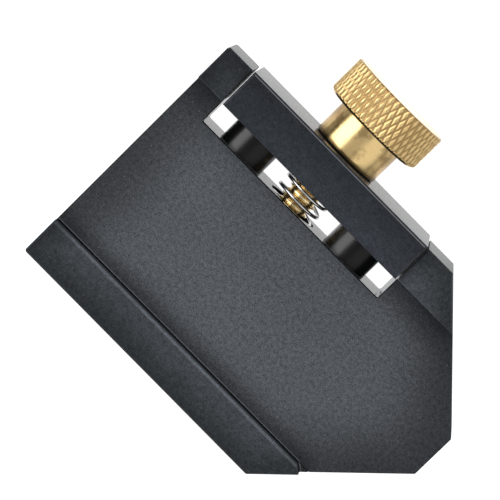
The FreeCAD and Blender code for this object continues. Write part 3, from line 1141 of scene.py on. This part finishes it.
def repaint(node: str, finish: Finish) -> None:
    """Give a CAD node that stays its finish."""
    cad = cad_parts[node]
    cad.data.materials.clear()
    cad.data.materials.append(finish.material())
    LOG.info("%s keeps its CAD shape, in %s", node, finish.name)


@dataclass
class MarkingBlock:
    """Block with its ledge, channel, notch and nose."""

    finish: Finish
    ledge_wall: float = -14.0
    ledge_tip: float = 27.75
    blunt_along: float = 2.0
    blunt_slope: float = 0.85
    cutter_floor: float = 0.01
    cutter_reach: float = 3.0
    weld: float = 0.002

    def cutter(self) -> Object:
        """Make the block of air that takes the sharp tip off the ledge."""
        start = Vector((self.ledge_tip - self.blunt_along, self.ledge_wall))
        stop = Vector((self.ledge_tip - self.blunt_slope, self.ledge_wall - self.blunt_slope))
        run = (stop - start).normalized()
        outwards = Vector((-run.y, run.x)) * self.cutter_reach
        near = (start - run, stop + run)
        outline = (near[0], near[1], near[1] + outwards, near[0] + outwards)
        levels = (self.cutter_floor, self.cutter_reach)
        points = [(spot.x * MM, spot.y * MM, z * MM) for z in levels for spot in outline]
        sides = [(i, (i + 1) % 4, (i + 1) % 4 + 4, i + 4) for i in range(4)]
        return add_mesh("tip_cutter", points, [(3, 2, 1, 0), (4, 5, 6, 7), *sides])

    def build(self) -> None:
        """Copy the block, blunt its ledge's tip and dress it."""
        shell = bmesh.new()
        shell.from_mesh(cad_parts["body_block"].data)
        bmesh.ops.remove_doubles(shell, verts=shell.verts, dist=self.weld * MM)
        piece = as_piece(shell, "anodised_body_block")
        cutter = self.cutter()
        modifier = piece.modifiers.new("blunt_tip", "BOOLEAN")
        modifier.operation = "DIFFERENCE"
        modifier.solver = "EXACT"
        modifier.object = cutter
        work_in(piece, modifier)
        bpy.data.objects.remove(cutter)
        piece.data.materials.clear()
        piece.data.shade_flat()
        settle(piece, self.finish, "block", "body_block")


@dataclass
class ClampBar:
    """Bar that slides between the arms, and its two guide pins."""

    finish: Finish
    oxide: Colour = (0.002, 0.002, 0.0022)
    pin_radius: float = 3.8
    pin_spacing: float = 20.3
    pin_foot: float = -4.0
    pin_head: float = 18.2
    pin_lead: float = 0.5
    edge_softening: float = 0.12
    soft_steps: int = 3
    plain_run: float = 0.8
    columns: int = 96

    def pin(self, name: str, side: int) -> None:
        """Turn one guide pin with its bevelled lead.

        Args:
            name: the CAD node that the pin replaces.
            side: -1 for the square end's side, 1 for the nose's side.
        """
        across = side * self.pin_spacing / 2
        profile = rod(self.pin_radius, self.pin_foot, self.pin_lead, self.pin_head)
        profile = soften(profile, self.edge_softening, self.soft_steps)
        profile = divided(profile, self.plain_run, self.pin_foot, self.pin_head)
        finish = GroundFinish(
            name=f"black_oxide_{name}", slot=Slot.PIN, oxide=self.oxide, across=across
        )
        piece = as_piece(turned(profile, self.columns, across), f"{name}_ground")
        settle(piece, finish, "bar", name)

    def build(self) -> None:
        """Dress the bar and make both pins."""
        repaint("clamp_bar", self.finish)
        self.pin("guide_pin_left", -1)
        self.pin("guide_pin_right", 1)


@dataclass
class ThumbScrew:
    """Brass screw: threaded shank, plain hub and knurled head."""

    finish: Finish
    shoulder: float = 20.22
    shank_reach: float = 24.0
    shank_radius: float = 2.5
    tip_chamfer: float = 0.6
    hub_radius: float = 5.4
    hub_height: float = 5.2
    hub_chamfer: float = 0.2
    head_radius: float = 8.0
    head_thickness: float = 5.9
    head_chamfer: float = 0.5
    rim_chamfer: float = 0.2
    edge_softening: float = 0.07
    soft_steps: int = 2
    plain_run: float = 0.8
    thread_run: float = 0.08
    knurl_run: float = 0.1
    knurl_margin: float = 0.01
    shank_columns: int = 72
    head_columns: int = 624
    smooth_turn: float = 60.0

    def head(self) -> Object:
        """Turn the hub and head, and roll the knurl into the rim."""
        underside = self.shoulder + self.hub_height
        top = underside + self.head_thickness
        knurl_start = underside + self.knurl_margin
        profile = [
            (0.0, self.shoulder),
            (self.hub_radius - self.hub_chamfer, self.shoulder),
            (self.hub_radius, self.shoulder + self.hub_chamfer),
            (self.hub_radius, underside),
            (self.head_radius - self.head_chamfer, underside),
            (self.head_radius, underside + self.head_chamfer),
            (self.head_radius, top - self.rim_chamfer),
            (self.head_radius - self.rim_chamfer, top),
            (0.0, top),
        ]
        profile = soften(profile, self.edge_softening, self.soft_steps)
        profile = divided(profile, self.plain_run, self.shoulder, top)
        profile = divided(profile, self.knurl_run, knurl_start, top - self.knurl_margin)
        piece = as_piece(turned(profile, self.head_columns), "thumb_screw_head")
        DiamondKnurl().bake(
            piece,
            self.finish.material(),
            rim_radius=self.head_radius,
            underside=knurl_start,
            topside=top - self.rim_chamfer,
        )
        return piece

    def shank(self) -> Object:
        """Turn the shank and cut its thread."""
        tip = self.shoulder - self.shank_reach
        inside_hub = self.shoulder + self.hub_chamfer
        profile = rod(self.shank_radius, tip, self.tip_chamfer, inside_hub)
        profile = divided(profile, self.thread_run, tip, inside_hub)
        piece = as_piece(turned(profile, self.shank_columns), "thumb_screw_shank")
        ScrewThread().bake(piece, self.finish.material(), outer_radius=self.shank_radius)
        return piece

    def build(self) -> None:
        """Make the screw and join its two shells into one piece."""
        head = self.head()
        shank = self.shank()
        both = bmesh.new()
        both.from_mesh(head.data)
        both.from_mesh(shank.data)
        both.to_mesh(head.data)
        both.free()
        bpy.data.objects.remove(shank)
        shade(head, self.smooth_turn)
        head.name = "turned_thumb_screw"
        settle(head, self.finish, "screw", "thumb_screw")


@dataclass
class ClampSpring:
    """Spring round the screw that pushes the clamp bar off the block."""

    finish: Finish
    block_seat: float = 8.35
    bar_seat: float = 17.4

    def build(self) -> None:
        """Wind the spring in place of the CAD spring."""
        piece = as_piece(bmesh.new(), "wound_clamp_spring")
        WoundWire().bake(piece, self.finish.material())
        shade(piece)
        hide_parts("clamp_spring")
        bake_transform(piece)
        LOG.info("%s: %d faces", piece.name, len(piece.data.polygons))


@dataclass
class Studio:
    """White table, soft panels and the camera straight above.

    Lengths are in millimetres, but for the panels, the table's size and the camera's
    sight, which are in metres.
    """

    edge_along: float = -19.8
    edge_height: float = -10.0
    round_along: float = 14.6
    round_height: float = -12.85
    round_radius: float = 0.9
    table_size: float = 1.6
    table_grey: Colour = (0.3, 0.3, 0.3)
    table_glow: float = 0.9
    glow_middle: float = -6.0
    glow_reach: Reach = (25.0, 37.5)
    screw_side: Reach = (2.0, 10.0)
    screw_start: Reach = (21.5, 23.0)
    screw_shadow: float = 0.35
    far_reach: Reach = (26.0, 31.0)
    far_glow: float = 0.25
    right_reach: Reach = (20.0, 40.0)
    right_glow: float = 0.35
    camera_at: Place = (-7.6, 53.7, 396.3)
    looks_at: Place = (0.105, 2.074, 0.0)
    picture_right: Place = (0.70213, 0.70829, -0.07306)
    lens: float = 208.6
    sensor: float = 36.0
    sight: Reach = (0.01, 10.0)
    zenith_light: float = 0.48
    right_light: float = 0.85
    right_turn: Reach = (0.15, 0.5)
    horizon_light: float = 0.1
    horizon_right: float = 0.35
    horizon: Reach = (0.1, 0.35)
    backdrop: float = 0.95

    def table(self) -> None:
        """Lay the table under the block's ledge edge and the bar's rounded back."""
        run = self.round_along - self.edge_along
        drop = self.edge_height - self.round_height
        slope = math.atan2(drop, run) + math.asin(self.round_radius / math.hypot(run, drop))
        half = self.table_size / 2
        turn = Matrix.Rotation(-slope, 4, "X")
        corners = [(-half, -half), (half, -half), (half, half), (-half, half)]
        origin = Vector((0.0, self.edge_along * MM, self.edge_height * MM))
        points = [origin + turn @ Vector((x, y, 0.0)) for x, y in corners]
        table = add_mesh("table", points, [(0, 1, 2, 3)])
        table.data.materials.append(self.table_material())

    def table_material(self) -> Material:
        """Make a white glowing sheet that is clear from below.

        The glow fades to both sides. Beside the screw it is darker, beyond it brighter.
        """
        material, wiring = new_material("white_sheet")
        place, _ = wiring.surface()
        across, along, _ = wiring.measured(place)
        near = across.near(self.glow_middle, *self.glow_reach)
        beside = across.size().ramp(*self.screw_side) * along.ramp(*self.screw_start)
        beyond = along.ramp(*self.far_reach) * self.far_glow
        right = across.ramp(*self.right_reach) * self.right_glow
        glow = near * (self.table_glow - beside * self.screw_shadow + beyond)
        seen = wiring.number(wiring.add("ShaderNodeLightPath").outputs["Is Camera Ray"])
        light = {"Strength": glow.greater(right).greater(seen)}
        shining = wiring.made("ShaderNodeEmission", light).outputs[0]
        grey = {"Color": (*self.table_grey, 1.0)}
        paper = wiring.made("ShaderNodeBsdfDiffuse", grey).outputs[0]
        sheet = wiring.joined("ShaderNodeAddShader", paper, shining).outputs[0]
        clear = wiring.add("ShaderNodeBsdfTransparent").outputs[0]
        behind = wiring.add("ShaderNodeNewGeometry").outputs["Backfacing"]
        either = wiring.joined("ShaderNodeMixShader", behind, sheet, clear).outputs[0]
        wiring.made("ShaderNodeOutputMaterial", {"Surface": either})
        return material

    def panel(self, name: str, at: Place, size: tuple[float, float], power: float) -> None:
        """Hang a soft white panel that faces the block.

        Args:
            name: the panel's name.
            at: its centre, in metres.
            size: its two sides, in metres.
            power: its light, in watts.
        """
        light = bpy.data.lights.new(name, "AREA")
        light.shape = "RECTANGLE"
        light.size, light.size_y = size
        light.energy = power
        lamp = add_object(name, light)
        lamp.location = at
        lamp.rotation_euler = (-Vector(at)).to_track_quat("-Z", "Y").to_euler()

    def world(self) -> None:
        """Fill the room with even light that fades towards the horizon."""
        world = bpy.data.worlds.new("room")
        world.use_nodes = True
        bpy.context.scene.world = world
        wiring = Wiring(world.node_tree)
        world.node_tree.nodes.clear()
        direction = wiring.add("ShaderNodeTexCoord").outputs["Generated"]
        sideways, _, upwards = wiring.split(direction)
        right = (sideways / sideways.diagonal(upwards)).ramp(*self.right_turn)
        above = self.zenith_light + right * (self.right_light - self.zenith_light)
        level = self.horizon_light + right * self.horizon_right
        studio = level + upwards.ramp(*self.horizon) * (above - level)
        seen = wiring.number(wiring.add("ShaderNodeLightPath").outputs["Is Camera Ray"])
        strength = studio + seen * (self.backdrop - studio)
        white = {"Color": (1.0, 1.0, 1.0, 1.0), "Strength": strength}
        back = wiring.made("ShaderNodeBackground", white)
        wiring.made("ShaderNodeOutputWorld", {"Surface": back.outputs[0]})

    def camera(self) -> None:
        """Set the camera where the photograph was taken from."""
        forward = (Vector(self.looks_at) - Vector(self.camera_at)).normalized()
        right = Vector(self.picture_right)
        right = (right - forward * right.dot(forward)).normalized()
        turn = Matrix((right, right.cross(forward), -forward)).transposed()
        data = bpy.data.cameras.new("above")
        data.lens = self.lens
        data.sensor_width = self.sensor
        data.clip_start, data.clip_end = self.sight
        camera = add_object("above", data)
        camera.matrix_world = Matrix.Translation(Vector(self.camera_at) * MM) @ turn.to_4x4()
        bpy.context.scene.camera = camera

    def build(self) -> None:
        """Set up the table, the lights and the camera."""
        self.table()
        self.panel("left_panel", at=(-0.46, 0.0, 0.386), size=(0.8, 0.54), power=2.87)
        self.panel("far_panel", at=(0.0, 0.52, 0.28), size=(0.9, 0.2), power=2.5)
        self.world()
        self.camera()
        settings = bpy.context.scene.view_settings
        settings.view_transform = "Standard"
        settings.look = "None"


def main() -> None:
    """Build every sub-assembly in order, and note how far the visual model reaches."""
    logging.basicConfig(level=logging.INFO, format="%(name)s: %(message)s")

    # The bar has no milled floor, so its floor height lies below all of it.
    below_bar = -20.0
    block_finish = AnodisedFinish(
        name="black_anodised_block",
        slot=Slot.BLOCK,
        dye=(0.0433, 0.0495, 0.056),
        floor_dye=(0.071, 0.0775, 0.0865),
        floor_height=0.1,
        fade=0.54,
        seal=0.62,
        softness=0.06,
        notched=1.0,
    )
    bar_finish = AnodisedFinish(
        name="black_anodised_bar",
        slot=Slot.BAR,
        dye=(0.024, 0.028, 0.034),
        floor_dye=(0.024, 0.028, 0.034),
        floor_height=below_bar,
        fade=0.35,
        seal=0.85,
        softness=0.2,
        sawn_ends=1.0,
    )
    wire_finish = DrawnWireFinish(
        name="bright_spring_wire", slot=Slot.WIRE, steel=(0.78, 0.78, 0.79)
    )
    brass_finish = TurnedBrassFinish(
        name="polished_turned_brass",
        slot=Slot.BRASS,
        brass=(0.89, 0.65, 0.3),
        tarnish_and_shade_colour=(0.45, 0.3, 0.13),
    )
    Studio().build()
    for part in (
        MarkingBlock(block_finish),
        ClampBar(bar_finish),
        ThumbScrew(brass_finish),
        ClampSpring(wire_finish),
    ):
        part.build()


if __name__ == "__main__":
    main()
